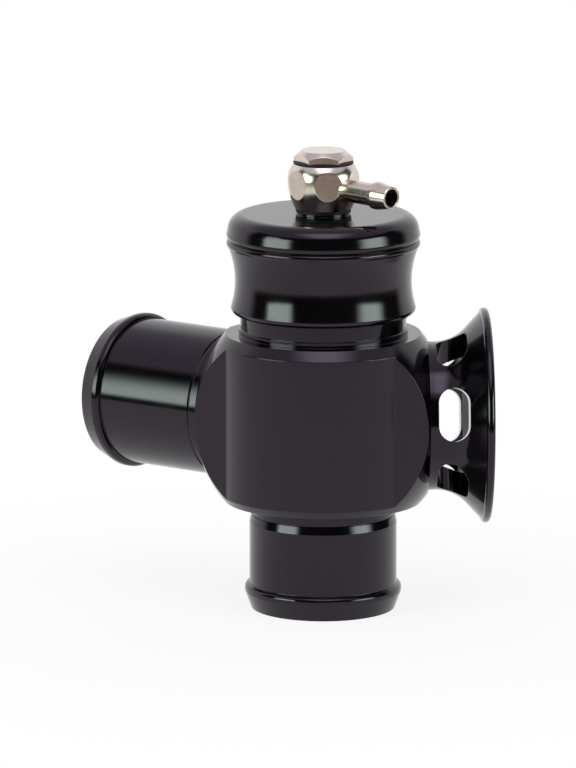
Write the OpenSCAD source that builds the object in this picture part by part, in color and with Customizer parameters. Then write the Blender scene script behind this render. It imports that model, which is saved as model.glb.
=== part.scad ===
// Dual-port blow off valve. A sprung piston lifts off its seat and lets charge air out
// sideways, through a hose end and through a slotted trumpet.
// Origin at the centre of the inlet mouth, +Z up the valve axis, +X along the trumpet.

/* [Cylinder] */
// Diameter of the cylinder that the piston slides in
cylinder_d = 34; // [30:0.5:38]
// How much narrower the side ports are than the cylinder, on the radius
port_step = 1.5; // [1:0.1:3]
// Ledge that stops the inlet spigot, on the radius
seat_ledge = 1.1; // [0.6:0.1:2]
// Width of the piston's seat
seat_w = 3; // [2:0.1:4]
// Angle from the trumpet to the recirculation hose end
port_angle = 141.5; // [125:0.5:180]

/* [Hose ends] */
// Outside diameter of the hose tubes
hose_d = 38; // [34:0.5:42]
// Wall thickness of the hose tubes
hose_wall = 2.6; // [2:0.1:3.5]
// Height of the hose bead above the tube, and the rounding of its back
bead_h = 1.2; // [0.6:0.1:2]
// Flat land on the crest of the hose bead
bead_land = 0.8; // [0.5:0.1:2]
// Length of the lead-in from the open end to the bead
lead_len = 4.4; // [2:0.1:6]
// How much smaller the open end is than the tube, on the radius
lead_drop = 0.4; // [0:0.1:1]
// Length of the inlet tube, from its open end to its shoulder
inlet_len = 24.6; // [18:0.2:40]
// Length of the recirculation tube, from the body to its open end
recirc_len = 40; // [28:0.2:60]
// Height of the steep chamfer on the inlet tube's shoulder
shoulder_h = 2; // [1:0.1:4]
// How much that chamfer narrows the shoulder, on the radius
shoulder_drop = 0.45; // [0.2:0.05:0.5]
// Height of the bare neck between the inlet tube and the body
inlet_neck_h = 3.7; // [2:0.1:8]
// How far the bare neck stands proud of its spigot
neck_proud = 0.3; // [0.1:0.1:1]

/* [Body] */
// Diameter of the turned ball
ball_d = 66.8; // [64:0.2:76]
// Diameter of the milled barrel between the ports
barrel_d = 54.2; // [50:0.2:58]
// Height of the port axes above the bottom of the body
port_rise = 21.5; // [20:0.1:26]
// Height of the top of the body above the port axes
top_rise = 22; // [20:0.1:26]
// Distance of the vent face from the valve axis, as a share of the ball's radius
vent_face = 0.794; // [0.77:0.001:0.8]
// Distance of the recirculation face from the valve axis, as a share of the ball's radius
recirc_face = 0.7195; // [0.68:0.0005:0.78]
// Wall of the vent boss beside its spigot
vent_boss_wall = 2.9; // [2:0.1:4]
// Wall of the recirculation boss beside its spigot
recirc_boss_wall = 5.2; // [2:0.1:6]
// Fillet where the boss walls meet the barrel
crease_r = 1.6; // [0.8:0.1:3]

/* [Port sockets] */
// Ledge at the bottom of each side socket, on the radius
socket_ledge = 2.6; // [2:0.1:4]
// Wall between the inlet spigot and the floor of each side socket
socket_wall = 0.9; // [0.6:0.1:1.5]
// Wall thickness of the spigots
spigot_wall = 1.7; // [1.2:0.1:2.5]
// How far the recirculation collar stands proud of its spigot
collar_step = 0.9; // [0.5:0.1:2]
// Length of the recirculation collar, up to its groove
recirc_collar_len = 5.4; // [3:0.1:10]
// Depth of the turned groove behind the recirculation collar
collar_groove = 0.35; // [0.2:0.05:0.6]

/* [Trumpet] */
// Length of the trumpet, from the body to its mouth
trumpet_len = 16.1; // [15:0.1:24]
// How far the trumpet's tube stands proud of its spigot
tube_step = 1; // [0.6:0.05:2]
// How far the trumpet's collar stands proud of its tube
vent_collar_step = 0.15; // [0.1:0.05:0.6]
// Length of the trumpet's collar
vent_collar_len = 2.1; // [1.5:0.1:5]
// Diameter of the trumpet's throat
throat_d = 24.5; // [22:0.5:28]
// Length of the throat, from the collar to the bell
throat_len = 8.2; // [7.9:0.1:9]
// Half angle of the throat
throat_angle = 21; // [10:1:24]
// Half angle of the bell inside the horn
bell_angle = 57; // [45:1:60]
// Radius of the blend from tube to horn
horn_r = 11; // [11:0.5:14]
// Half angle of the horn
horn_angle = 47; // [46:0.5:50]
// Height of the rolled lip above the horn
lip_h = 1.1; // [0.8:0.1:2]
// Thickness of the rolled lip
lip_t = 2.2; // [1.6:0.1:3]
// Number of slots around the trumpet
slot_count = 6; // [4:1:6]
// Width of a slot along the trumpet
slot_w = 7.8; // [5:0.1:8]
// Length of a slot around the trumpet
slot_l = 13.7; // [9:0.1:14]
// Tilt of the front slot above the horizontal
slot_tilt = 12; // [0:1:30]

/* [Neck and cap] */
// Wall of the threaded neck around the cylinder
neck_wall = 3; // [2.4:0.1:4]
// How far the plain land stands proud of the thread
land_step = 1.35; // [0.8:0.05:2]
// How far the foot flange stands proud of the land
flange_step = 0.45; // [0.2:0.05:1]
// Height of the foot flange
flange_h = 1.4; // [1:0.1:4]
// Bare land between the flange and the cap, which is the cap's travel down
cap_gap = 3.9; // [2:0.1:5]
// Height of the cap
cap_h = 25.8; // [24:0.1:32]
// Wall of the cap at its waist
cap_wall = 2.4; // [1.8:0.1:4]
// Thickness of the cap's roof
cap_roof = 3.4; // [2.5:0.1:5]
// Height of the waist above the bottom of the cap
waist_h = 8.5; // [6:0.1:12]
// Radius of the hollow waist
waist_r = 23; // [20:0.5:30]
// Rounding of the bottom edge of the cap
foot_r = 1.6; // [0.8:0.1:2]
// Rounding of the top of the bead around the cap
crown_r = 4; // [3:0.1:4.6]
// Rounding of the bead's lower edge
crown_edge = 1.6; // [1.2:0.1:2.2]
// Length of the bead's leaning side, between those roundings
crown_side = 1.75; // [1:0.05:2]
// Lean of that side
crown_lean = 11.5; // [5:0.5:15]
// Depth of the groove under the bead
crown_groove = 0.75; // [0.4:0.05:1]
// Rounding of the skirt's edge under that groove
skirt_round = 1; // [0.8:0.1:1.2]

/* [Piston and spring] */
// Wall thickness of the piston
piston_wall = 2.6; // [2:0.1:3.5]
// Thickness of the piston's floor
piston_floor = 3; // [2.4:0.1:5]
// Space between the spring and the piston's wall
spring_space = 2.35; // [1:0.05:4]
// Wire diameter of the spring
spring_wire = 2.5; // [1.5:0.1:3]
// Number of working turns of the spring
spring_turns = 8; // [5:1:9]
// Thickness of the spring seat
seat_plate = 1.7; // [1.2:0.1:3]
// Thickness of the thrust washer
thrust_t = 1; // [0.5:0.1:2]
// Length of the pilots that centre the spring
pilot_h = 3.5; // [2:0.1:6]

/* [Vacuum fitting] */
// Thread diameter of the banjo bolt
bolt_d = 10; // [8:0.5:12]
// Bore of the banjo bolt
bolt_bore_d = 5; // [3:0.1:6]
// Width across flats of the bolt head
head_af = 13.2; // [12.5:0.1:17]
// Height of the bolt head
head_h = 2.8; // [2:0.1:6]
// Diameter of the boss in the middle of the cap
boss_d = 13.8; // [13:0.1:18]
// Height of that boss
boss_h = 0.6; // [0.4:0.1:3]
// Thickness of the lower sealing washer
lower_washer_t = 0.8; // [0.5:0.1:2]
// Thickness of the upper sealing washer
upper_washer_t = 0.5; // [0.4:0.1:2]
// Largest diameter of the banjo eye
eye_d = 18.4; // [17:0.1:22]
// Width across flats of the banjo eye
eye_af = 17; // [16:0.1:20]
// Height of the banjo eye
eye_h = 11.6; // [10:0.1:16]
// Height of the eye's widest part above its lower face
eye_belly_h = 7.5; // [6:0.1:8]
// How much the eye narrows to its lower face, on the radius
eye_lower_drop = 1.9; // [0.8:0.1:2.5]
// How much the eye narrows to its upper face, on the radius
eye_upper_drop = 1.5; // [0.8:0.1:2]
// Height of the nozzle's axis above the eye's lower face
nozzle_rise = 5.6; // [5:0.1:7]
// Length of the nozzle, from the valve axis
nozzle_len = 24.5; // [20:0.5:40]
// Outside diameter of the nozzle's tube
nozzle_d = 5.8; // [5:0.1:8]
// Bore of the nozzle
nozzle_bore_d = 4.6; // [2:0.1:4.8]
// Height of the nozzle's barb above its tube
barb_h = 0.65; // [0.3:0.05:1.2]
// Length of the nozzle's barb
barb_len = 5.8; // [4:0.1:10]
// Direction that the nozzle points
nozzle_angle = -48; // [-180:1:180]

/* [Seals and clearances] */
// Section of the O-rings
o_ring_d = 1.6; // [1.2:0.1:2]
// Gap around each sealing ring
seal_gap = 0.03; // [0.02:0.01:0.08]
// Gap around each screwed spigot and bolt
joint_gap = 0.05; // [0.03:0.01:0.1]
// Gap around the sliding piston
running_gap = 0.05; // [0.03:0.01:0.1]
// Gap between the cap and the neck
cap_clear = 0.3; // [0.2:0.05:0.5]

/* [Hidden] */
$fn = 96;
// Overlap of cutting tools past the faces that they cut
cut = 1;
anodised = "#221f26";
rubber = "#141414";
nickel = "#b9afa6";
bronze = "#a9793f";
steel = "#8f9399";
polymer = "#d8d4c8";

// Radii and heights of the cylinder, the ports and the hose ends
cylinder_r = cylinder_d / 2;
port_r = cylinder_r - port_step;
port_margin = 0.2;
inlet_spigot_r = cylinder_r + seat_ledge;
inlet_neck_r = inlet_spigot_r + neck_proud;
side_spigot_r = port_r + socket_ledge;
collar_r = side_spigot_r + collar_step;
side_bore_r = side_spigot_r - spigot_wall;
inlet_throat_r = inlet_spigot_r - spigot_wall;
seat_r = cylinder_r - seat_w;
hose_r = hose_d / 2;
hose_bore_r = hose_r - hose_wall;
bead_r = hose_r + bead_h;
bead_top = lead_len + bead_land + bead_h;
bore_blend = 3;
shoulder_z = inlet_len - shoulder_h;
body_z0 = inlet_len + inlet_neck_h;
port_z = body_z0 + port_rise;
body_z1 = port_z + top_rise;
seat_z = port_z - port_r - port_margin;
seat_lip = 1;

// Faces and walls of the body
ball_r = ball_d / 2;
barrel_r = barrel_d / 2;
vent_flat = vent_face * ball_r;
recirc_flat = recirc_face * ball_r;
vent_half_w = side_spigot_r + vent_boss_wall;
recirc_half_w = side_spigot_r + recirc_boss_wall;

// Neck and cap
thread_r = cylinder_r + neck_wall;
land_r = thread_r + land_step;
flange_r = land_r + flange_step;
flange_z1 = body_z1 + flange_h;
cap_z0 = flange_z1 + cap_gap;
cap_z1 = cap_z0 + cap_h;
land_cover = 0.1;
land_z1 = cap_z0 + land_cover;
ceiling_z = cap_z1 - cap_roof;
cap_bore_r = thread_r + cap_clear;
skirt_bore_r = land_r + cap_clear;
skirt_spare = 0.6;
skirt_z1 = cap_z0 + cap_gap + skirt_spare;
waist_z = cap_z0 + waist_h;
cap_waist_r = cap_bore_r + cap_wall;
waist_axis_r = cap_waist_r + waist_r;
crown_z = cap_z1 - crown_r;
crown_way = [cos(crown_lean), sin(crown_lean)];
crown_edge_z = crown_z + (crown_r - crown_edge) * crown_way.y - crown_side * crown_way.x;
crown_groove_z = crown_edge_z - sqrt(crown_edge ^ 2 - (crown_edge - crown_groove) ^ 2);
skirt_edge_z = crown_groove_z - sqrt(skirt_round ^ 2 - (skirt_round - crown_groove) ^ 2);
function waist_at(z) = waist_axis_r - sqrt(waist_r ^ 2 - (z - waist_z) ^ 2);
cap_foot_r = waist_at(cap_z0 + foot_r);
skirt_edge_r = waist_at(skirt_edge_z);
crown_edge_r = skirt_edge_r - crown_edge;
crown_axis_r = crown_edge_r - (crown_r - crown_edge) * crown_way.x - crown_side * crown_way.y;
crown_groove_r = skirt_edge_r - crown_groove;

// Piston, spring and spring seat
seat_gap = 0.1;
piston_z0 = seat_z + seat_gap;
piston_r = cylinder_r - running_gap;
piston_bore_r = piston_r - piston_wall;
floor_z = piston_z0 + piston_floor;
ring_space = 0.4;
ring_w = o_ring_d + ring_space;
ring_land = 0.8;
ring_z0 = port_z + port_r + port_margin + ring_land;
guide_z0 = ring_z0 + ring_w + ring_land;
piston_z1 = guide_z0 + ring_w + ring_land;
plate_z1 = ceiling_z - joint_gap - thrust_t;
plate_z0 = plate_z1 - seat_plate;
neck_spare = 1;
neck_z1 = plate_z0 - cap_gap - neck_spare;
spring_r = piston_bore_r - spring_space;
coil_r = spring_r - spring_wire / 2;
pilot_gap = 0.3;
pilot_r = spring_r - spring_wire - pilot_gap;

// Trumpet
trumpet_r = side_spigot_r + tube_step;
vent_collar_r = trumpet_r + vent_collar_step;
throat_r = throat_d / 2;
horn_z0 = vent_flat + vent_collar_len;
mouth_z = vent_flat + trumpet_len;
horn_axis = [trumpet_r + horn_r, horn_z0];
horn_start = horn_axis + horn_r * [-cos(horn_angle), sin(horn_angle)];
function along_cone(start, angle, z) = [start.x + tan(angle) * (z - start.y), z];
throat_start = [throat_r, horn_z0];
bell_start = along_cone(throat_start, throat_angle, horn_z0 + throat_len);
horn_end = along_cone(horn_start, horn_angle, mouth_z - lip_t);
lip_r = horn_end.x + lip_h;
slot_margin = 0.1;
slot_z = horn_z0 + slot_margin + slot_w / 2;

// Hose ends at the side
socket_floor = inlet_spigot_r + joint_gap + socket_wall;
spigot_end = socket_floor + o_ring_d;
recirc_end = recirc_flat + recirc_len;

// Seals
groove_top = 0.8;
inlet_groove_z = seat_z - groove_top - ring_w;
cap_groove_z = neck_z1 - groove_top - ring_w;
cap_ring_r = cap_bore_r - o_ring_d / 2;
seal_place = 0.4;
seal_r = seat_r + seal_place * seat_w;
piston_chamfer = 0.5;
guide_t = 1.2;
guide_split = 1;

// Spring
spring_z0 = floor_z;
spring_z1 = plate_z0;
ground = spring_wire / 4;
all_turns = spring_turns + 2;
closed_pitch = 1.04;
closed_rise = closed_pitch * spring_wire;
coil_z0 = spring_z0 + spring_wire / 2 - ground;
coil_z1 = spring_z1 - spring_wire / 2 + ground;
coil_pitch = (coil_z1 - coil_z0 - 2 * closed_rise) / spring_turns;
coil_steps = 24;
wire_sides = 8;
function coil_z(turn) =
    turn < 1 ? coil_z0 + closed_rise * turn
    : turn > all_turns - 1 ? coil_z1 - closed_rise * (all_turns - turn)
    : coil_z0 + closed_rise + coil_pitch * (turn - 1);
function wire_point(turn, around) =
    let (reach = coil_r + spring_wire / 2 * cos(around))
    [reach * cos(360 * turn), reach * sin(360 * turn), coil_z(turn) + spring_wire / 2 * sin(around)];

// Vacuum fitting
bolt_r = bolt_d / 2;
boss_z1 = cap_z1 + boss_h;
lower_washer_z1 = boss_z1 + lower_washer_t;
eye_z0 = lower_washer_z1 + joint_gap;
eye_z1 = eye_z0 + eye_h;
upper_washer_z0 = eye_z1 + joint_gap;
head_z0 = upper_washer_z0 + upper_washer_t;
head_z1 = head_z0 + head_h;
head_turn = -2.5;
head_chamfer = 2;
head_chamfer_h = head_chamfer * tan(42);
eye_r = eye_d / 2;
belly_z = eye_z0 + eye_belly_h;
eye_lower_arc = (eye_belly_h ^ 2 + eye_lower_drop ^ 2) / (2 * eye_lower_drop);
eye_upper_h = eye_h - eye_belly_h;
eye_upper_arc = (eye_upper_h ^ 2 + eye_upper_drop ^ 2) / (2 * eye_upper_drop);
eye_flats_turn = -7;
eye_bore_r = bolt_r + joint_gap;
chamber_depth = 1;
chamber_r = eye_bore_r + chamber_depth;
chamber_h = nozzle_bore_d + chamber_depth;
nozzle_z = eye_z0 + nozzle_rise;
nozzle_r = nozzle_d / 2;
barb_r = nozzle_r + barb_h;
barb_z0 = nozzle_len - barb_len;
barb_step = 0.4;
barb_land = 1;
tip_drop = 0.1;
cross_hole_d = 3;
hex_corner = 1 / cos(30);
washer_proud = 0.2;

// Places a turned section on a port axis: its height becomes the distance from the valve axis
module along_port(angle) {
    translate([0, 0, port_z]) rotate([0, 0, angle]) rotate([0, 90, 0]) children();
}

// Ring of rectangular section, also the tool for a groove
module flat_ring(inner_r, outer_r, z, h) {
    rotate_extrude() translate([inner_r, z]) square([outer_r - inner_r, h]);
}

// O-ring with its mean radius and the height of its middle
module o_ring(mean_r, z) {
    rotate_extrude() translate([mean_r, z]) circle(d = o_ring_d - 2 * seal_gap);
}

// Section of a beaded hose tube: open end at height 0, square shoulder at height len
module hose_outline(len) {
    difference() {
        polygon([
            [0, 0], [hose_r - lead_drop, 0], [bead_r, lead_len], [bead_r, bead_top],
            [hose_r, bead_top], [hose_r, len], [0, len]
        ]);
        edge_round(bead_r, bead_top, bead_h);
    }
}

// What a rounded outer edge takes off a section's corner
module edge_round(r, z, edge) {
    translate([r - edge, z - edge]) difference() {
        square(2 * edge);
        circle(edge);
    }
}

// Fillet between the barrel and a boss wall, on the side of positive Y
module crease_fillet(half_w) {
    middle = [sqrt((barrel_r + crease_r) ^ 2 - (half_w + crease_r) ^ 2), half_w + crease_r];
    on_barrel = middle * barrel_r / (barrel_r + crease_r);
    on_wall = [middle.x, half_w];
    difference() {
        polygon([[on_barrel.x, half_w - crease_r], on_wall, middle, on_barrel]);
        translate(middle) circle(crease_r);
    }
}

// Plan of a boss with its two creases
module boss_plan(flat, half_w, angle) {
    rotate(angle) {
        translate([0, -half_w]) square([flat, 2 * half_w]);
        crease_fillet(half_w);
        mirror([0, 1]) crease_fillet(half_w);
    }
}

// What is milled off beyond a port face
module face_plan(flat, angle) {
    rotate(angle) translate([flat, -ball_d]) square([ball_d, 2 * ball_d]);
}

module body_plan() {
    difference() {
        union() {
            circle(barrel_r);
            boss_plan(vent_flat, vent_half_w, 0);
            boss_plan(recirc_flat, recirc_half_w, port_angle);
        }
        face_plan(vent_flat, 0);
        face_plan(recirc_flat, port_angle);
    }
}

module neck() {
    rotate_extrude() polygon([
        [0, port_z], [thread_r, port_z], [thread_r, body_z1], [flange_r, body_z1],
        [flange_r, flange_z1], [land_r, flange_z1], [land_r, land_z1], [thread_r, land_z1],
        [thread_r, neck_z1], [0, neck_z1]
    ]);
}

// Side port with the socket for its spigot
module port_bore(flat, angle) {
    along_port(angle) {
        cylinder(r = port_r, h = flat);
        translate([0, 0, socket_floor]) {
            cylinder(r = side_spigot_r + joint_gap, h = flat - socket_floor + cut);
        }
    }
}

module body() {
    color(anodised) difference() {
        union() {
            intersection() {
                translate([0, 0, port_z]) sphere(ball_r);
                translate([0, 0, body_z0]) linear_extrude(body_z1 - body_z0) body_plan();
            }
            neck();
        }
        translate([0, 0, body_z0]) cylinder(r = cylinder_r, h = neck_z1 - body_z0 + cut);
        translate([0, 0, body_z0 - cut]) {
            cylinder(r = inlet_spigot_r + joint_gap, h = seat_z - body_z0 + cut);
        }
        port_bore(vent_flat, 0);
        port_bore(recirc_flat, port_angle);
        flat_ring(cap_ring_r - o_ring_d / 2, thread_r + cut, cap_groove_z, ring_w);
    }
}

module inlet_hose_end() {
    color(anodised) difference() {
        rotate_extrude() difference() {
            union() {
                hose_outline(shoulder_z);
                polygon([
                    [0, shoulder_z], [hose_r, shoulder_z], [hose_r - shoulder_drop, inlet_len], [0, inlet_len]
                ]);
                translate([0, inlet_len / 2]) square([inlet_neck_r, body_z0 - inlet_len / 2]);
                translate([0, inlet_len / 2]) square([inlet_spigot_r, seat_z - inlet_len / 2]);
            }
            polygon([
                [0, -cut], [hose_bore_r, -cut], [hose_bore_r, inlet_len - bore_blend],
                [inlet_throat_r, inlet_len], [inlet_throat_r, body_z0], [seat_r, seat_z - seat_lip],
                [seat_r, seat_z + cut], [0, seat_z + cut]
            ]);
        }
        flat_ring(inlet_spigot_r - o_ring_d, inlet_spigot_r + cut, inlet_groove_z, ring_w);
    }
}

module inlet_o_ring() {
    color(rubber) o_ring(inlet_spigot_r - o_ring_d / 2, inlet_groove_z + ring_w / 2);
}

module recirculation_hose_end() {
    collar_end = recirc_flat + recirc_collar_len;
    color(anodised) along_port(port_angle) rotate_extrude() difference() {
        union() {
            translate([0, recirc_end]) mirror([0, 1]) hose_outline(recirc_len);
            translate([0, recirc_flat]) square([collar_r, recirc_collar_len]);
            translate([0, spigot_end]) square([side_spigot_r, collar_end - spigot_end]);
        }
        polygon([
            [0, 0], [side_bore_r, 0], [side_bore_r, collar_end], [hose_bore_r, collar_end + bore_blend],
            [hose_bore_r, recirc_end + cut], [0, recirc_end + cut]
        ]);
        polygon([
            [collar_r - collar_groove, collar_end], [collar_r + cut, collar_end - collar_groove - cut],
            [collar_r + cut, collar_end + collar_groove + cut]
        ]);
    }
}

// O-ring at the bottom of a side socket
module side_o_ring(angle) {
    along_port(angle) o_ring(side_spigot_r - o_ring_d / 2, socket_floor + o_ring_d / 2);
}

module recirculation_o_ring() {
    color(rubber) side_o_ring(port_angle);
}

// Section of the trumpet from the outside, filled to the axis
module trumpet_outline() {
    difference() {
        polygon([
            [0, spigot_end], [side_spigot_r, spigot_end], [side_spigot_r, vent_flat],
            [vent_collar_r, vent_flat], [vent_collar_r, horn_z0], [horn_axis.x - horn_r / 2, horn_z0],
            horn_start + [horn_r / 4, 0], horn_start, horn_end, [horn_end.x, mouth_z], [0, mouth_z]
        ]);
        translate(horn_axis) circle(horn_r);
    }
    translate([0, mouth_z - lip_t]) square([lip_r - lip_t / 2, lip_t]);
    translate([lip_r - lip_t / 2, mouth_z - lip_t / 2]) circle(lip_t / 2);
}

// Section of the air way through the trumpet, which narrows to a throat and opens to a bell
module trumpet_air_way() {
    polygon([
        [0, 0], [side_bore_r, 0], [side_bore_r, vent_flat], throat_start, bell_start,
        along_cone(bell_start, bell_angle, mouth_z + cut), [0, mouth_z + cut]
    ]);
}

// Round-ended slot through one side of the trumpet
module slot() {
    straight = slot_l - slot_w;
    rotate([0, 90, 0]) linear_extrude(lip_r) {
        square([slot_w, straight], center = true);
        for (side = [-1, 1]) translate([0, side * straight / 2]) circle(d = slot_w);
    }
}

module vent_trumpet() {
    color(anodised) along_port(0) difference() {
        rotate_extrude() trumpet_outline();
        rotate_extrude() trumpet_air_way();
        for (i = [0 : slot_count - 1]) {
            rotate([0, 0, -90 - slot_tilt + i * 360 / slot_count]) translate([0, 0, slot_z]) slot();
        }
    }
}

module trumpet_o_ring() {
    color(rubber) side_o_ring(0);
}

module piston() {
    color(steel) difference() {
        rotate_extrude() polygon([
            [0, piston_z0], [piston_r - piston_chamfer, piston_z0], [piston_r, piston_z0 + piston_chamfer],
            [piston_r, piston_z1], [piston_bore_r, piston_z1], [piston_bore_r, floor_z],
            [pilot_r, floor_z], [pilot_r, floor_z + pilot_h], [0, floor_z + pilot_h]
        ]);
        flat_ring(seal_r - o_ring_d / 2, seal_r + o_ring_d / 2, piston_z0 - cut, o_ring_d + cut);
        flat_ring(piston_r - o_ring_d, piston_r + cut, ring_z0, ring_w);
        flat_ring(piston_r - guide_t, piston_r + cut, guide_z0, ring_w);
    }
}

module piston_o_ring() {
    color(rubber) o_ring(piston_r - o_ring_d / 2, ring_z0 + ring_w / 2);
}

module piston_guide_ring() {
    color(bronze) difference() {
        flat_ring(piston_r - guide_t + seal_gap, piston_r, guide_z0 + seal_gap, ring_w - 2 * seal_gap);
        translate([0, -guide_split / 2, guide_z0]) cube([cylinder_d, guide_split, ring_w]);
    }
}

module seat_seal() {
    color(rubber) o_ring(seal_r, seat_z + o_ring_d / 2);
}

module spring() {
    rings = coil_steps * all_turns;
    points = [
        for (i = [0 : rings], j = [0 : wire_sides - 1]) wire_point(i / coil_steps, 360 * j / wire_sides)
    ];
    first_end = [for (j = [0 : wire_sides - 1]) j];
    last_end = [for (j = [wire_sides - 1 : -1 : 0]) rings * wire_sides + j];
    sides = [
        for (i = [0 : rings - 1], j = [0 : wire_sides - 1])
            let (k = (j + 1) % wire_sides)
            [i * wire_sides + j, (i + 1) * wire_sides + j, (i + 1) * wire_sides + k, i * wire_sides + k]
    ];
    color(steel) intersection() {
        polyhedron(points, concat([first_end, last_end], sides));
        translate([0, 0, spring_z0]) cylinder(r = spring_r + cut, h = spring_z1 - spring_z0);
    }
}

module spring_seat() {
    hole_r = bolt_r + cut;
    color(steel) rotate_extrude() polygon([
        [hole_r, plate_z0 - pilot_h], [pilot_r, plate_z0 - pilot_h], [pilot_r, plate_z0],
        [cap_bore_r - cap_clear, plate_z0], [cap_bore_r - cap_clear, plate_z1], [hole_r, plate_z1]
    ]);
}

module thrust_washer() {
    color(polymer) flat_ring(bolt_r + cut, spring_r, plate_z1, thrust_t);
}

// Section of the cap from the outside, filled to the axis
module cap_outline() {
    difference() {
        polygon([
            [0, cap_z0], [cap_foot_r, cap_z0], [cap_foot_r, waist_z], [skirt_edge_r, waist_z],
            [skirt_edge_r, skirt_edge_z], [crown_groove_r, crown_groove_z], [crown_axis_r, crown_groove_z],
            [crown_axis_r, cap_z1], [0, cap_z1]
        ]);
        translate([waist_axis_r, waist_z]) circle(waist_r);
        translate([0, 2 * cap_z0]) mirror([0, 1]) edge_round(cap_foot_r, cap_z0, foot_r);
    }
    translate([crown_axis_r, crown_z]) circle(crown_r);
    translate([crown_edge_r, crown_edge_z]) circle(crown_edge);
    polygon([
        [crown_axis_r, crown_z], [crown_edge_r, crown_edge_z],
        [crown_edge_r, crown_edge_z] + crown_edge * crown_way, [crown_axis_r, crown_z] + crown_r * crown_way
    ]);
    translate([skirt_edge_r - skirt_round, skirt_edge_z]) circle(skirt_round);
    translate([0, cap_z1]) square([boss_d / 2, boss_h]);
}

module cap() {
    color(anodised) difference() {
        rotate_extrude() cap_outline();
        translate([0, 0, cap_z0 - cut]) cylinder(r = skirt_bore_r, h = skirt_z1 - cap_z0 + cut);
        translate([0, 0, cap_z0]) cylinder(r = cap_bore_r, h = ceiling_z - cap_z0);
        translate([0, 0, ceiling_z - cut]) {
            cylinder(r = bolt_r + joint_gap, h = boss_z1 - ceiling_z + 2 * cut);
        }
    }
}

module cap_o_ring() {
    color(rubber) o_ring(cap_ring_r, cap_groove_z + ring_w / 2);
}

module banjo_bolt() {
    corner_r = head_af / 2 * hex_corner;
    color(nickel) difference() {
        union() {
            translate([0, 0, ceiling_z]) cylinder(r = bolt_r, h = head_z0 - ceiling_z + head_h / 2);
            intersection() {
                translate([0, 0, head_z0]) rotate([0, 0, head_turn]) {
                    cylinder(r = corner_r, h = head_h, $fn = 6);
                }
                rotate_extrude() polygon([
                    [0, head_z0], [corner_r, head_z0], [corner_r, head_z1 - head_chamfer_h],
                    [corner_r - head_chamfer, head_z1], [0, head_z1]
                ]);
            }
        }
        translate([0, 0, ceiling_z - cut]) {
            cylinder(d = bolt_bore_d, h = nozzle_z - ceiling_z + cross_hole_d);
        }
        translate([0, 0, nozzle_z]) rotate([0, 90, nozzle_angle]) {
            cylinder(d = cross_hole_d, h = 2 * bolt_d, center = true);
        }
    }
}

// Section of the turned banjo eye, filled to the axis
module eye_outline() {
    intersection() {
        translate([eye_r - eye_lower_arc, belly_z]) circle(eye_lower_arc);
        translate([0, eye_z0]) square([eye_r, eye_belly_h]);
    }
    intersection() {
        translate([eye_r - eye_upper_arc, belly_z]) circle(eye_upper_arc);
        translate([0, belly_z]) square([eye_r, eye_upper_h]);
    }
}

module nozzle_outline() {
    polygon([
        [0, 0], [nozzle_r, 0], [nozzle_r, barb_z0], [barb_r, barb_z0 + barb_step],
        [barb_r, barb_z0 + barb_step + barb_land], [nozzle_r - tip_drop, nozzle_len], [0, nozzle_len]
    ]);
}

module banjo_fitting() {
    flats_r = eye_af / 2 * hex_corner;
    color(nickel) difference() {
        union() {
            intersection() {
                rotate_extrude() eye_outline();
                rotate([0, 0, nozzle_angle + eye_flats_turn]) {
                    translate([0, 0, eye_z0]) cylinder(r = flats_r, h = eye_h, $fn = 6);
                }
            }
            translate([0, 0, nozzle_z]) rotate([0, 90, nozzle_angle]) rotate_extrude() nozzle_outline();
        }
        translate([0, 0, eye_z0 - cut]) cylinder(r = eye_bore_r, h = eye_h + 2 * cut);
        flat_ring(bolt_r, chamber_r, nozzle_z - chamber_h / 2, chamber_h);
        translate([0, 0, nozzle_z]) rotate([0, 90, nozzle_angle]) {
            cylinder(d = nozzle_bore_d, h = nozzle_len + cut);
        }
    }
}

module lower_sealing_washer() {
    color(rubber) flat_ring(bolt_r + joint_gap, boss_d / 2 + washer_proud, boss_z1, lower_washer_t);
}

module upper_sealing_washer() {
    color(rubber) flat_ring(bolt_r + joint_gap, eye_r - eye_upper_drop, upper_washer_z0, upper_washer_t);
}

body();
inlet_hose_end();
inlet_o_ring();
recirculation_hose_end();
recirculation_o_ring();
vent_trumpet();
trumpet_o_ring();
piston();
piston_o_ring();
piston_guide_ring();
seat_seal();
spring();
spring_seat();
thrust_washer();
cap();
cap_o_ring();
banjo_bolt();
banjo_fitting();
lower_sealing_washer();
upper_sealing_washer();
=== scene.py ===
"""Looks of the blow off valve: finishes on the solids, a wound spring, studio and camera."""

import logging
import math
from dataclasses import dataclass
from enum import Enum
from typing import Any

import bpy
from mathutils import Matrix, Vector


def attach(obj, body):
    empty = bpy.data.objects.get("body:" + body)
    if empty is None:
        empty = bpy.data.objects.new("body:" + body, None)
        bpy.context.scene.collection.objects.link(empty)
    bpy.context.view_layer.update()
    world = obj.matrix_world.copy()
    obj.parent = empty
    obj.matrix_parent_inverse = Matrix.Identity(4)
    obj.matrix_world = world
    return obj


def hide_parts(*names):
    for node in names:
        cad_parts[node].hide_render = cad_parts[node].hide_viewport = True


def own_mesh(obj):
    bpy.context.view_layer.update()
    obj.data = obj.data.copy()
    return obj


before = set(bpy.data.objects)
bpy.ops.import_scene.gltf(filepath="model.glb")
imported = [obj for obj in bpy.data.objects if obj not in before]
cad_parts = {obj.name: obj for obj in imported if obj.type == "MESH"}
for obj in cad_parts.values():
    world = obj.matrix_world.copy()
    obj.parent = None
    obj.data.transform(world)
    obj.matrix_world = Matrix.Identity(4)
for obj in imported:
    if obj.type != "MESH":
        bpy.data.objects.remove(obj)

LOG = logging.getLogger("blow_off_valve")
MM = 0.001
PORT_HEIGHT = 49.8 * MM
PORT_ANGLE = 141.5
NOZZLE_HEIGHT = 109.95 * MM
NOZZLE_ANGLE = -48.0

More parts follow.
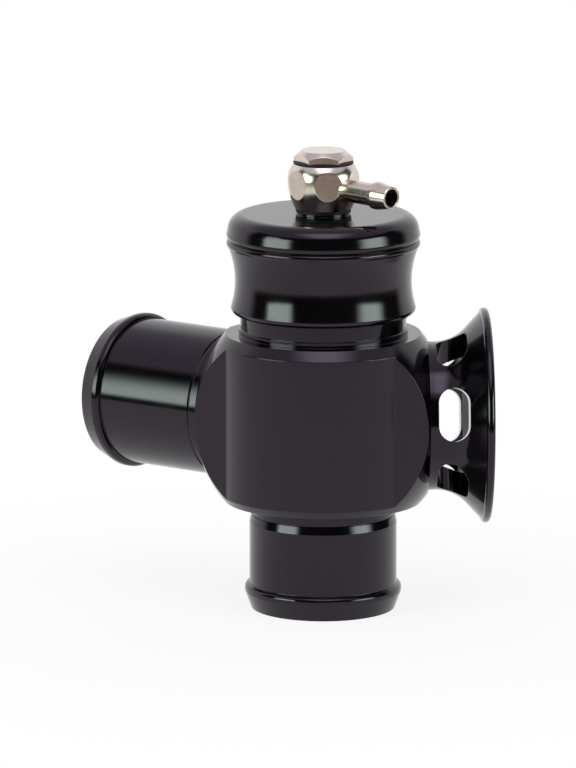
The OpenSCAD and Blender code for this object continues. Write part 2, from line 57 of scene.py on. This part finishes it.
Colour = tuple[float, float, float]
Window = tuple[float, float, float]
WHITE: Colour = (1.0, 1.0, 1.0)


class TurningAxis(Enum):
    """Axis that a piece was turned about: a point on it, and its turn from +Z in degrees."""

    VALVE = ((0.0, 0.0, 0.0), (0.0, 0.0, 0.0))
    TRUMPET = ((0.0, 0.0, PORT_HEIGHT), (0.0, 90.0, 0.0))
    RECIRCULATION = ((0.0, 0.0, PORT_HEIGHT), (0.0, 90.0, PORT_ANGLE))
    NOZZLE = ((0.0, 0.0, NOZZLE_HEIGHT), (0.0, 90.0, NOZZLE_ANGLE))

    @property
    def place(self) -> tuple[float, float, float]:
        """Point on the axis, in metres."""
        return self.value[0]

    @property
    def turn(self) -> tuple[float, float, float]:
        """Turn of the axis from +Z, in radians."""
        return tuple(math.radians(angle) for angle in self.value[1])


class NodeSheet:
    """Node tree with short calls that add and join nodes."""

    NUMBERED = "in_"
    MIX_INPUTS = (0, 6, 7)
    MIX_RESULT = 2

    def __init__(self, tree: bpy.types.NodeTree) -> None:
        """Takes over a node tree and empties it.

        Args:
            tree: The tree of a material, a world or a node group.
        """
        self.tree = tree
        tree.nodes.clear()

    def add(
        self, kind: str, settings: dict[str, Any] | None = None, **inputs: Any
    ) -> bpy.types.Node:
        """Adds a node.

        Args:
            kind: Blender's name of the node type.
            settings: Properties of the node.
            inputs: Values or sockets, by the input's name in lower case with underscores.

        Returns:
            The new node.
        """
        node = self.tree.nodes.new(kind)
        for name, value in (settings or {}).items():
            setattr(node, name, value)
        for name, value in inputs.items():
            self.feed(self.socket(node, name), value)
        return node

    def socket(self, node: bpy.types.Node, name: str) -> bpy.types.NodeSocket:
        """Finds an enabled input.

        Args:
            node: Node that has the input.
            name: The input's name in lower case with underscores, or in_ and its number.

        Returns:
            The input.
        """
        if name.startswith(self.NUMBERED):
            return node.inputs[int(name.removeprefix(self.NUMBERED))]
        return next(
            s for s in node.inputs if s.enabled and s.name.lower().replace(" ", "_") == name
        )

    def feed(self, target: bpy.types.NodeSocket, value: Any) -> None:
        """Links a socket into an input, or sets the input's own value.

        Args:
            target: Input that is fed.
            value: Socket, colour or plain value.
        """
        if isinstance(value, bpy.types.NodeSocket):
            self.tree.links.new(value, target)
        elif isinstance(value, tuple) and target.type == "RGBA":
            target.default_value = (*value[:3], 1.0)
        else:
            target.default_value = value

    def math(self, operation: str, *values: Any, clamp: bool = False) -> bpy.types.NodeSocket:
        """Adds a Math node.

        Args:
            operation: Blender's name of the operation.
            values: Values or sockets, in the order of the inputs.
            clamp: Whether the result is kept between 0 and 1.

        Returns:
            The result.
        """
        node = self.tree.nodes.new("ShaderNodeMath")
        node.operation = operation
        node.use_clamp = clamp
        for target, value in zip(node.inputs, values):
            self.feed(target, value)
        return node.outputs[0]

    def ramp(
        self, value: Any, low: float, high: float, start: float = 0.0, end: float = 1.0
    ) -> bpy.types.NodeSocket:
        """Adds a smooth Map Range.

        Args:
            value: Socket that is mapped.
            low: Value at the start of the slope.
            high: Value at the end of the slope.
            start: Result up to the start.
            end: Result from the end on.

        Returns:
            The mapped value.
        """
        node = self.add(
            "ShaderNodeMapRange", {"interpolation_type": "SMOOTHSTEP"},
            value=value, from_min=low, from_max=high, to_min=start, to_max=end,
        )
        return node.outputs["Result"]

    def window(self, value: Any, low: float, high: float, soft: float) -> bpy.types.NodeSocket:
        """Mask that is 1 between two values, with soft sides.

        Args:
            value: Socket that is tested.
            low: Lower end of the window.
            high: Upper end of the window.
            soft: Half width of each soft side.

        Returns:
            The mask.
        """
        rise = self.ramp(value, low - soft, low + soft)
        fall = self.ramp(value, high - soft, high + soft, 1.0, 0.0)
        return self.math("MULTIPLY", rise, fall)

    def mix(self, share: Any, first: Any, second: Any) -> bpy.types.NodeSocket:
        """Mixes two colours.

        Args:
            share: Share of the second colour.
            first: First colour or its socket.
            second: Second colour or its socket.

        Returns:
            The mixed colour.
        """
        node = self.tree.nodes.new("ShaderNodeMix")
        node.data_type = "RGBA"
        for number, value in zip(self.MIX_INPUTS, (share, first, second)):
            self.feed(node.inputs[number], value)
        return node.outputs[self.MIX_RESULT]


class EffectLibrary:
    """Shader node groups that several finishes share, each built once."""

    RADIUS_SHARE = 0.83
    RINGS_IN_BAND = 11.0
    HAZE_ROUGHNESS = 0.55
    EDGE_REACH = 0.35 * MM
    EDGE_SAMPLES = 6
    EDGE_BEND = (0.01, 0.2)
    # Density and slope of the fine noise that breaks up the painted edge highlight.
    HIGHLIGHT_NOISE_DENSITY = 900.0
    HIGHLIGHT_NOISE_SLOPE = (0.35, 0.65, 0.4, 1.0)

    def __init__(self) -> None:
        """Builds the groups."""
        self.turned_marks = self._turned_marks()
        self.surface_haze = self._surface_haze()
        self.edge_mask = self._edge_mask()

    @staticmethod
    def _group(
        name: str, inputs: dict[str, tuple[str, float]], outputs: tuple[str, ...]
    ) -> NodeSheet:
        """Starts a group.

        Args:
            name: Name of the group.
            inputs: Socket type and start value of each input.
            outputs: Names of the outputs, which are all values.

        Returns:
            The group's sheet, still without nodes.
        """
        tree = bpy.data.node_groups.new(name, "ShaderNodeTree")
        for label, (kind, start) in inputs.items():
            socket = tree.interface.new_socket(label, in_out="INPUT", socket_type=kind)
            if kind == "NodeSocketFloat":
                socket.default_value = start
        for label in outputs:
            tree.interface.new_socket(label, in_out="OUTPUT", socket_type="NodeSocketFloat")
        return NodeSheet(tree)

    def _turned_marks(self) -> bpy.types.NodeTree:
        """Makes the fine rings and broad bands that a lathe tool leaves around the coordinates' Z.

        Returns:
            The group.
        """
        sheet = self._group(
            "turned_marks",
            {"Vector": ("NodeSocketVector", 0.0), "Pitch": ("NodeSocketFloat", 0.4 * MM)},
            ("Rings", "Bands"),
        )
        given = sheet.add("NodeGroupInput")
        parts = sheet.add("ShaderNodeSeparateXYZ", vector=given.outputs["Vector"])
        across = sheet.add("ShaderNodeCombineXYZ", x=parts.outputs["X"], y=parts.outputs["Y"])
        radius = sheet.add("ShaderNodeVectorMath", {"operation": "LENGTH"}, in_0=across.outputs[0])
        travel = sheet.math(
            "MULTIPLY_ADD", radius.outputs["Value"], self.RADIUS_SHARE, parts.outputs["Z"],
        )
        count = sheet.math("DIVIDE", travel, given.outputs["Pitch"])
        rings = sheet.add(
            "ShaderNodeTexNoise", {"noise_dimensions": "1D"}, w=count, scale=1.0, detail=2.0,
        )
        bands = sheet.add(
            "ShaderNodeTexNoise", {"noise_dimensions": "1D"},
            w=sheet.math("DIVIDE", count, self.RINGS_IN_BAND), scale=1.0, detail=1.0,
        )
        result = sheet.add("NodeGroupOutput")
        sheet.feed(result.inputs["Rings"], rings.outputs[0])
        sheet.feed(result.inputs["Bands"], bands.outputs[0])
        return sheet.tree

    def _surface_haze(self) -> bpy.types.NodeTree:
        """Makes soft cloudiness and a fine grain all over a surface.

        Returns:
            The group.
        """
        sheet = self._group(
            "surface_haze",
            {
                "Vector": ("NodeSocketVector", 0.0),
                "Size": ("NodeSocketFloat", 12.0 * MM),
                "Grain": ("NodeSocketFloat", 0.3 * MM),
            },
            ("Haze", "Grain"),
        )
        given = sheet.add("NodeGroupInput")
        haze = sheet.add(
            "ShaderNodeTexNoise", vector=given.outputs["Vector"],
            scale=sheet.math("DIVIDE", 1.0, given.outputs["Size"]),
            detail=3.0, roughness=self.HAZE_ROUGHNESS,
        )
        grain = sheet.add(
            "ShaderNodeTexNoise", vector=given.outputs["Vector"],
            scale=sheet.math("DIVIDE", 1.0, given.outputs["Grain"]), detail=1.0,
        )
        result = sheet.add("NodeGroupOutput")
        sheet.feed(result.inputs["Haze"], haze.outputs[0])
        sheet.feed(result.inputs["Grain"], grain.outputs[0])
        return sheet.tree

    def _edge_mask(self) -> bpy.types.NodeTree:
        """Makes a mask of the outer and inner edges, broken up by a fine noise, where a paler
        colour is painted on as a highlight.

        Returns:
            The group.
        """
        sheet = self._group(
            "edge_mask",
            {"Vector": ("NodeSocketVector", 0.0), "Strength": ("NodeSocketFloat", 1.0)},
            ("Edge",),
        )
        given = sheet.add("NodeGroupInput")
        rounded = sheet.add(
            "ShaderNodeBevel", {"samples": self.EDGE_SAMPLES}, radius=self.EDGE_REACH,
        )
        plain = sheet.add("ShaderNodeNewGeometry")
        facing = sheet.add(
            "ShaderNodeVectorMath", {"operation": "DOT_PRODUCT"},
            in_0=rounded.outputs[0], in_1=plain.outputs["Normal"],
        )
        bend = sheet.math("SUBTRACT", 1.0, facing.outputs["Value"])
        # Fine noise breaks up the painted edge highlight.
        noise = sheet.add(
            "ShaderNodeTexNoise", vector=given.outputs["Vector"],
            scale=self.HIGHLIGHT_NOISE_DENSITY, detail=2.0,
        )
        uneven = sheet.ramp(noise.outputs[0], *self.HIGHLIGHT_NOISE_SLOPE)
        edge = sheet.math("MULTIPLY", sheet.ramp(bend, *self.EDGE_BEND), uneven)
        result = sheet.add("NodeGroupOutput")
        strong = sheet.math("MULTIPLY", edge, given.outputs["Strength"])
        sheet.feed(result.inputs["Edge"], strong)
        return sheet.tree


@dataclass(frozen=True)
class Finish:
    """A surface finish: colours, gloss and fine relief of one material."""

    label: str
    tone: Colour
    second_tone: Colour
    roughness: float
    roughness_spread: float = 0.06
    metallic: float = 0.0
    ior: float = 1.5
    gloss_tint: Colour = WHITE
    haze_size: float = 12.0 * MM
    grain_size: float = 0.3 * MM
    grain_depth: float = 0.0
    ring_pitch: float = 0.4 * MM
    ring_depth: float = 0.0
    edge_radius: float = 0.2 * MM
    edge_samples: int = 8
    # Paler colour painted on the edges as a highlight, and how much of it.
    painted_highlight_tone: Colour | None = None
    painted_highlight_strength: float = 0.0
    band_share: float = 0.5
    drift_slope: tuple[float, float] = (0.5, 1.0)

    def material(self, effects: EffectLibrary, axis: TurningAxis) -> bpy.types.Material:
        """Makes the material for pieces turned about one axis.

        Args:
            effects: Shared node groups.
            axis: Axis that the turning marks run around.

        Returns:
            The material, made once for each axis.
        """
        name = f"{self.label}_{axis.name.lower()}"
        if name in bpy.data.materials:
            return bpy.data.materials[name]
        made = bpy.data.materials.new(name)
        made.use_nodes = True
        sheet = NodeSheet(made.node_tree)
        coordinates = sheet.add("ShaderNodeTexCoord")
        place = sheet.add(
            "ShaderNodeMapping", {"vector_type": "TEXTURE"},
            vector=coordinates.outputs["Object"], location=axis.place, rotation=axis.turn,
        ).outputs[0]
        marks = sheet.add(
            "ShaderNodeGroup", {"node_tree": effects.turned_marks},
            vector=place, pitch=self.ring_pitch,
        )
        haze = sheet.add(
            "ShaderNodeGroup", {"node_tree": effects.surface_haze},
            vector=place, size=self.haze_size, grain=self.grain_size,
        )
        shader = sheet.add(
            "ShaderNodeBsdfPrincipled",
            metallic=self.metallic, ior=self.ior, specular_tint=self.gloss_tint,
        )
        sheet.feed(shader.inputs["Base Color"], self._colour(sheet, effects, place, marks, haze))
        sheet.feed(shader.inputs["Roughness"], self._gloss(sheet, marks, haze))
        sheet.feed(shader.inputs["Normal"], self._relief(sheet, marks, haze))
        sheet.add("ShaderNodeOutputMaterial", surface=shader.outputs[0])
        return made

    def _colour(
        self, sheet: NodeSheet, effects: EffectLibrary, place: bpy.types.NodeSocket,
        marks: bpy.types.Node, haze: bpy.types.Node,
    ) -> bpy.types.NodeSocket:
        """Makes a colour that drifts between two tones, with a painted highlight of paler colour on
        the edges where the finish has one.

        Args:
            sheet: Nodes of the material.
            effects: Shared node groups.
            place: Coordinates about the turning axis.
            marks: Turning marks.
            haze: Haze and grain.

        Returns:
            The colour.
        """
        bands = marks.outputs["Bands"]
        drift = sheet.math("MULTIPLY_ADD", bands, self.band_share, haze.outputs["Haze"])
        colour = sheet.mix(sheet.ramp(drift, *self.drift_slope), self.tone, self.second_tone)
        if self.painted_highlight_tone is None:
            return colour
        # Paler colour painted on the edges stands in for a highlight there.
        edge = sheet.add(
            "ShaderNodeGroup", {"node_tree": effects.edge_mask},
            vector=place, strength=self.painted_highlight_strength,
        )
        return sheet.mix(edge.outputs["Edge"], colour, self.painted_highlight_tone)

    def _gloss(
        self, sheet: NodeSheet, marks: bpy.types.Node, haze: bpy.types.Node
    ) -> bpy.types.NodeSocket:
        """Makes a roughness that varies with the turning marks and the haze.

        Args:
            sheet: Nodes of the material.
            marks: Turning marks.
            haze: Haze and grain.

        Returns:
            The roughness.
        """
        sway = sheet.math("ADD", haze.outputs["Haze"], marks.outputs["Rings"])
        centred = sheet.math("SUBTRACT", sway, 1.0)
        swing = 2.0 * self.roughness_spread
        return sheet.math("MULTIPLY_ADD", centred, swing, self.roughness, clamp=True)

    def _relief(
        self, sheet: NodeSheet, marks: bpy.types.Node, haze: bpy.types.Node
    ) -> bpy.types.NodeSocket:
        """Makes a normal with eased edges, turning marks and grain.

        Args:
            sheet: Nodes of the material.
            marks: Turning marks.
            haze: Haze and grain.

        Returns:
            The normal.
        """
        eased = sheet.add(
            "ShaderNodeBevel", {"samples": self.edge_samples}, radius=self.edge_radius,
        )
        normal = eased.outputs[0]
        reliefs = (
            (marks.outputs["Rings"], self.ring_depth),
            (haze.outputs["Grain"], self.grain_depth),
        )
        for height, depth in reliefs:
            if depth > 0.0:
                normal = sheet.add(
                    "ShaderNodeBump",
                    strength=1.0, distance=depth, height=height, normal=normal,
                ).outputs[0]
        return normal


# The black anodise's edge tone is a painted highlight on its edges.
BLACK_ANODISE = Finish(
    "black_anodised_aluminium", (0.0013, 0.0010, 0.0014), (0.0022, 0.0018, 0.0024), 0.11, 0.03,
    ior=1.44, gloss_tint=(1.0, 0.84, 1.03), ring_pitch=0.42 * MM, ring_depth=0.0006 * MM,
    grain_size=0.16 * MM, grain_depth=0.0003 * MM, edge_radius=0.25 * MM,
    painted_highlight_tone=(0.010, 0.009, 0.011), painted_highlight_strength=0.5,
)
HARD_ANODISE = Finish(
    "grey_hard_anodised_aluminium", (0.10, 0.105, 0.11), (0.14, 0.145, 0.15), 0.38, 0.06,
    metallic=0.55, ring_pitch=0.3 * MM, ring_depth=0.002 * MM,
)
BRIGHT_NICKEL = Finish(
    "nickel_plated_brass", (0.64, 0.555, 0.49), (0.71, 0.635, 0.57), 0.2, 0.05, metallic=1.0,
    haze_size=5.0 * MM, ring_pitch=0.35 * MM, ring_depth=0.0006 * MM, grain_size=0.5 * MM,
    grain_depth=0.0012 * MM, edge_radius=0.3 * MM,
)
MOULDED_RUBBER = Finish(
    "black_rubber", (0.004, 0.004, 0.0045), (0.007, 0.007, 0.0075), 0.55, 0.08, ior=1.33,
    haze_size=4.0 * MM, grain_size=0.12 * MM, grain_depth=0.006 * MM, edge_radius=0.12 * MM,
)
DRAWN_STEEL = Finish(
    "spring_steel", (0.36, 0.365, 0.375), (0.46, 0.465, 0.475), 0.3, 0.08, metallic=1.0,
    haze_size=6.0 * MM, grain_size=0.15 * MM, grain_depth=0.002 * MM, edge_radius=0.08 * MM,
)
WHITE_POLYMER = Finish(
    "white_slide_polymer", (0.66, 0.64, 0.58), (0.74, 0.72, 0.66), 0.42, 0.06,
    haze_size=5.0 * MM, grain_size=0.2 * MM, grain_depth=0.003 * MM, edge_radius=0.12 * MM,
)
BRONZE_POLYMER = Finish(
    "bronze_filled_slide_polymer", (0.28, 0.17, 0.075), (0.40, 0.26, 0.12), 0.45, 0.06,
    haze_size=3.0 * MM, grain_size=0.15 * MM, grain_depth=0.003 * MM, edge_radius=0.1 * MM,
)


@dataclass
class SubAssembly:
    """Pieces that move together, with the tools to dress them."""

    effects: EffectLibrary

    def dress(self, node: str, finish: Finish, axis: TurningAxis = TurningAxis.VALVE) -> None:
        """Gives a CAD solid its finish.

        Args:
            node: Name of the solid.
            finish: Finish that it gets.
            axis: Axis that it was turned about.
        """
        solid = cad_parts[node]
        solid.data.materials.clear()
        solid.data.materials.append(finish.material(self.effects, axis))
        LOG.info("%s: %s", node, finish.label)


@dataclass
class ValveBody(SubAssembly):
    """Ball body with its two hose ends, its trumpet and their seals."""

    def build(self) -> None:
        """Dresses the body, the ends and the seals."""
        self.dress("body", BLACK_ANODISE)
        self.dress("inlet_hose_end", BLACK_ANODISE)
        self.dress("recirculation_hose_end", BLACK_ANODISE, TurningAxis.RECIRCULATION)
        self.dress("vent_trumpet", BLACK_ANODISE, TurningAxis.TRUMPET)
        for ring in ("inlet_o_ring", "recirculation_o_ring", "trumpet_o_ring", "cap_o_ring"):
            self.dress(ring, MOULDED_RUBBER)


@dataclass
class PistonGroup(SubAssembly):
    """Piston with its rings and its seat seal."""

    def build(self) -> None:
        """Dresses the piston and its rings."""
        self.dress("piston", HARD_ANODISE)
        self.dress("piston_o_ring", MOULDED_RUBBER)
        self.dress("piston_guide_ring", BRONZE_POLYMER)
        self.dress("seat_seal", MOULDED_RUBBER)


@dataclass
class SpringGroup(SubAssembly):
    """Spring with its seat and the thrust washer."""

    coil_radius: float = 10.75 * MM
    wire: float = 2.5 * MM
    working_turns: int = 8
    closed_pitch: float = 1.04
    bottom: float = 37.2 * MM
    top: float = 96.75 * MM
    lift: float = 18.0 * MM
    wire_sides: int = 16
    steps: int = 48
    weld: float = 0.01 * MM
    smooth_angle: float = 40.0

    def build(self) -> None:
        """Dresses the seat and the washer, and winds the spring."""
        self.dress("spring_seat", HARD_ANODISE)
        self.dress("thrust_washer", WHITE_POLYMER)
        coil = self._wind()
        coil.data.materials.append(DRAWN_STEEL.material(self.effects, TurningAxis.VALVE))
        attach(coil, "spring_seat")
        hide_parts("spring")
        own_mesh(coil)
        LOG.info("%s: wound from %d working turns", coil.name, self.working_turns)

    def _wind(self) -> bpy.types.Object:
        """Winds two closed turns around the working turns and grinds both ends flat.

        Returns:
            The finished spring.
        """
        ground = self.wire / 4.0
        low = self.bottom + self.wire / 2.0 - ground
        high = self.top - self.wire / 2.0 + ground
        closed = self.closed_pitch * self.wire
        pitch = (high - low - 2.0 * closed) / self.working_turns
        turns = [
            self._turns(low, closed, 1),
            self._turns(low + closed, pitch, self.working_turns),
            self._turns(high - closed, closed, 1),
        ]
        bpy.ops.object.select_all(action="DESELECT")
        for piece in turns:
            piece.select_set(True)
        bpy.context.view_layer.objects.active = turns[0]
        bpy.ops.object.join()
        coil = bpy.context.view_layer.objects.active
        coil.name = "coil_spring"
        bpy.ops.object.mode_set(mode="EDIT")
        bpy.ops.mesh.select_all(action="SELECT")
        bpy.ops.mesh.remove_doubles(threshold=self.weld)
        bpy.ops.mesh.fill_holes(sides=0)
        for height, outward in ((self.bottom, -1.0), (self.top, 1.0)):
            bpy.ops.mesh.select_all(action="SELECT")
            bpy.ops.mesh.bisect(
                plane_co=(0.0, 0.0, height), plane_no=(0.0, 0.0, outward),
                use_fill=True, clear_outer=True,
            )
        bpy.ops.mesh.select_all(action="SELECT")
        bpy.ops.mesh.normals_make_consistent(inside=False)
        bpy.ops.object.mode_set(mode="OBJECT")
        bpy.ops.object.shade_smooth_by_angle(angle=math.radians(self.smooth_angle))
        return coil

    def _turns(self, height: float, rise: float, count: int) -> bpy.types.Object:
        """Sweeps the round wire up a helix.

        Args:
            height: Height of the wire's middle at the start.
            rise: Rise of each turn.
            count: Number of turns.

        Returns:
            An open tube.
        """
        bpy.ops.object.select_all(action="DESELECT")
        bpy.ops.mesh.primitive_circle_add(
            vertices=self.wire_sides, radius=self.wire / 2.0, fill_type="NOTHING",
            location=(self.coil_radius, 0.0, height), rotation=(math.pi / 2.0, 0.0, 0.0),
        )
        tube = bpy.context.view_layer.objects.active
        bpy.ops.object.transform_apply(location=True, rotation=True, scale=True)
        screw = tube.modifiers.new("helix", "SCREW")
        screw.axis = "Z"
        screw.angle = 2.0 * math.pi
        screw.screw_offset = rise
        screw.iterations = count
        screw.steps = self.steps
        screw.render_steps = self.steps
        bpy.ops.object.modifier_apply(modifier=screw.name)
        return tube


@dataclass
class CapGroup(SubAssembly):
    """Screw-down cap with the banjo bolt and its sealing washers."""

    def build(self) -> None:
        """Dresses the cap, the bolt and the washers."""
        self.dress("cap", BLACK_ANODISE)
        self.dress("banjo_bolt", BRIGHT_NICKEL)
        self.dress("lower_sealing_washer", MOULDED_RUBBER)
        self.dress("upper_sealing_washer", MOULDED_RUBBER)


@dataclass
class VacuumFitting(SubAssembly):
    """Swivelling banjo eye with its barbed nozzle."""

    def build(self) -> None:
        """Dresses the fitting."""
        self.dress("banjo_fitting", BRIGHT_NICKEL, TurningAxis.NOZZLE)


@dataclass(frozen=True)
class StripLamp:
    """Upright soft lamp: its sides from the camera's bearing and its top's fade, in degrees."""

    left: float
    right: float
    soft: float
    fade_start: float
    fade_end: float


@dataclass
class Studio:
    """White studio: floor, light around the valve, and the camera of the photograph."""

    azimuth: float = -2.5
    elevation: float = 11.5
    distance: float = 2.0
    lens: float = 364.4
    sensor: float = 36.0
    aim_right: float = -9.055 * MM
    aim_up: float = 8.335 * MM
    floor_radius: float = 0.45
    floor_sides: int = 96
    floor_colour: Colour = (0.86, 0.86, 0.86)
    floor_fade: Window = (0.045, 0.18, 0.86)
    strips: tuple[StripLamp, ...] = (
        StripLamp(-75.5, -57.0, 4.0, 9.0, 37.0),
        StripLamp(-64.0, -42.0, 5.0, 19.5, 24.5),
        StripLamp(48.0, 78.0, 8.0, 19.5, 24.5),
    )
    strip_level: float = 7.0
    strip_tint: Colour = (0.94, 1.27, 1.0)
    strip_foot: float = 2.5
    roof_level: float = 2.8
    roof_tint: Colour = (1.0, 0.97, 1.06)
    roof_across: Window = (-0.34, 0.34, 0.24)
    roof_along: Window = (-0.95, -0.16, 0.12)
    roof_lowest: float = 0.05
    ceiling_level: float = 0.65
    ceiling_tint: Colour = (1.0, 0.92, 1.06)
    ceiling_rise: tuple[float, float] = (34.0, 46.0)
    dark_level: float = 0.03
    room_sides: Window = (-102.0, 114.0, 8.0)
    room_heights: Window = (-90.0, 39.0, 4.0)
    room_floor: Colour = (0.32, 0.24, 0.2)
    room_floor_rise: tuple[float, float] = (-10.0, -6.0)

    def build(self) -> None:
        """Sets up the floor, the light and the camera."""
        bpy.context.scene.view_settings.view_transform = "Standard"
        self._floor()
        self._light()
        self._camera()

    def _floor(self) -> None:
        """Lays a pale floor that fades to white away from the valve and keeps its shadow."""
        bpy.ops.object.select_all(action="DESELECT")
        bpy.ops.mesh.primitive_circle_add(
            vertices=self.floor_sides, radius=self.floor_radius, fill_type="NGON",
        )
        floor = bpy.context.view_layer.objects.active
        floor.name = "studio_floor"
        made = bpy.data.materials.new("white_floor")
        made.use_nodes = True
        sheet = NodeSheet(made.node_tree)
        place = sheet.add("ShaderNodeTexCoord").outputs["Object"]
        reach = sheet.add("ShaderNodeVectorMath", {"operation": "LENGTH"}, in_0=place)
        near, far, least = self.floor_fade
        share = sheet.ramp(reach.outputs["Value"], near, far, least, 1.0)
        path = sheet.add("ShaderNodeLightPath")
        seen = sheet.math("ADD", path.outputs["Is Camera Ray"], path.outputs["Is Glossy Ray"])
        seen = sheet.math("ADD", seen, path.outputs["Is Transmission Ray"], clamp=True)
        plain = sheet.add("ShaderNodeBsdfDiffuse", color=self.floor_colour)
        white = sheet.add("ShaderNodeEmission", color=WHITE, strength=1.0)
        both = sheet.add("ShaderNodeMixShader", in_0=sheet.math("MULTIPLY", seen, share))
        sheet.feed(both.inputs[1], plain.outputs[0])
        sheet.feed(both.inputs[2], white.outputs[0])
        sheet.add("ShaderNodeOutputMaterial", surface=both.outputs[0])
        floor.data.materials.append(made)

    def _light(self) -> None:
        """Lights the valve from the world: white all round, a dark room in front and soft lamps."""
        world = bpy.data.worlds.new("studio")
        bpy.context.scene.world = world
        world.use_nodes = True
        sheet = NodeSheet(world.node_tree)
        ray = sheet.add("ShaderNodeTexCoord").outputs["Generated"]
        way = sheet.add("ShaderNodeSeparateXYZ", vector=ray)
        back = sheet.math("MULTIPLY", way.outputs["Y"], -1.0)
        around = sheet.math("DEGREES", sheet.math("ARCTAN2", way.outputs["X"], back))
        bearing = sheet.math("SUBTRACT", around, self.azimuth)
        rise = sheet.math("DEGREES", sheet.math("ARCSINE", way.outputs["Z"]))
        colour = self._room(sheet, bearing, rise)
        colour = self._roof(sheet, way, colour)
        colour = self._strips(sheet, bearing, rise, colour)
        lit = sheet.add("ShaderNodeBackground", color=colour, strength=1.0)
        white = sheet.add("ShaderNodeBackground", color=WHITE, strength=1.0)
        path = sheet.add("ShaderNodeLightPath")
        both = sheet.add("ShaderNodeMixShader", in_0=path.outputs["Is Camera Ray"])
        sheet.feed(both.inputs[1], lit.outputs[0])
        sheet.feed(both.inputs[2], white.outputs[0])
        sheet.add("ShaderNodeOutputWorld", surface=both.outputs[0])

    def _room(
        self, sheet: NodeSheet, bearing: bpy.types.NodeSocket, rise: bpy.types.NodeSocket
    ) -> bpy.types.NodeSocket:
        """Makes the white surround with its ceiling, and the dark room in front.

        Args:
            sheet: Nodes of the world.
            bearing: Bearing from the camera, in degrees.
            rise: Height above the horizon, in degrees.

        Returns:
            The colour of the surround.
        """
        ceiling = self._lamp(self.ceiling_level, self.ceiling_tint)
        colour = sheet.mix(sheet.ramp(rise, *self.ceiling_rise), WHITE, ceiling)
        sides = sheet.window(bearing, *self.room_sides)
        heights = sheet.window(rise, *self.room_heights)
        dark = self._lamp(self.dark_level, WHITE)
        room = sheet.mix(sheet.ramp(rise, *self.room_floor_rise), self.room_floor, dark)
        return sheet.mix(sheet.math("MULTIPLY", sides, heights), colour, room)

    def _roof(
        self, sheet: NodeSheet, way: bpy.types.Node, colour: bpy.types.NodeSocket
    ) -> bpy.types.NodeSocket:
        """Hangs a soft square lamp overhead.

        Args:
            sheet: Nodes of the world.
            way: Direction of the ray, in its parts.
            colour: Colour of the surround.

        Returns:
            The colour with the lamp.
        """
        height = sheet.math("MAXIMUM", way.outputs["Z"], self.roof_lowest)
        right = sheet.math("DIVIDE", way.outputs["X"], height)
        ahead = sheet.math("DIVIDE", way.outputs["Y"], height)
        across = sheet.window(right, *self.roof_across)
        along = sheet.window(ahead, *self.roof_along)
        lamp = self._lamp(self.roof_level, self.roof_tint)
        return sheet.mix(sheet.math("MULTIPLY", across, along), colour, lamp)

    def _strips(
        self, sheet: NodeSheet, bearing: bpy.types.NodeSocket, rise: bpy.types.NodeSocket,
        colour: bpy.types.NodeSocket,
    ) -> bpy.types.NodeSocket:
        """Stands the upright lamps on the horizon.

        Args:
            sheet: Nodes of the world.
            bearing: Bearing from the camera, in degrees.
            rise: Height above the horizon, in degrees.
            colour: Colour of the surround.

        Returns:
            The colour with the lamps.
        """
        lamp = self._lamp(self.strip_level, self.strip_tint)
        foot = sheet.ramp(rise, -self.strip_foot, self.strip_foot)
        for strip in self.strips:
            across = sheet.window(bearing, strip.left, strip.right, strip.soft)
            top = sheet.ramp(rise, strip.fade_start, strip.fade_end, 1.0, 0.0)
            upright = sheet.math("MULTIPLY", foot, top)
            colour = sheet.mix(sheet.math("MULTIPLY", across, upright), colour, lamp)
        return colour

    @staticmethod
    def _lamp(level: float, tint: Colour) -> Colour:
        """Gives the colour of a lamp at a level."""
        return tuple(level * part for part in tint)

    def _camera(self) -> None:
        """Places the camera at the photograph's viewing angle."""
        turn, climb = math.radians(self.azimuth), math.radians(self.elevation)
        right = Vector((math.cos(turn), math.sin(turn), 0.0))
        reach = math.cos(climb)
        back = Vector((math.sin(turn) * reach, -math.cos(turn) * reach, math.sin(climb)))
        up = back.cross(right)
        middle = Vector((0.0, 0.0, PORT_HEIGHT))
        target = middle + right * self.aim_right + up * self.aim_up
        lens = bpy.data.cameras.new("photograph")
        lens.lens = self.lens
        lens.sensor_width = self.sensor
        camera = bpy.data.objects.new("photograph", lens)
        bpy.context.scene.collection.objects.link(camera)
        camera.location = target + back * self.distance
        camera.rotation_euler = (-back).to_track_quat("-Z", "Y").to_euler()
        bpy.context.scene.camera = camera


def main() -> None:
    """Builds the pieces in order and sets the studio."""
    logging.basicConfig(level=logging.INFO, format="%(name)s %(message)s")
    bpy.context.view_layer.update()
    effects = EffectLibrary()
    for group in (ValveBody, PistonGroup, SpringGroup, CapGroup, VacuumFitting):
        group(effects).build()
    Studio().build()


if __name__ == "__main__":
    main()
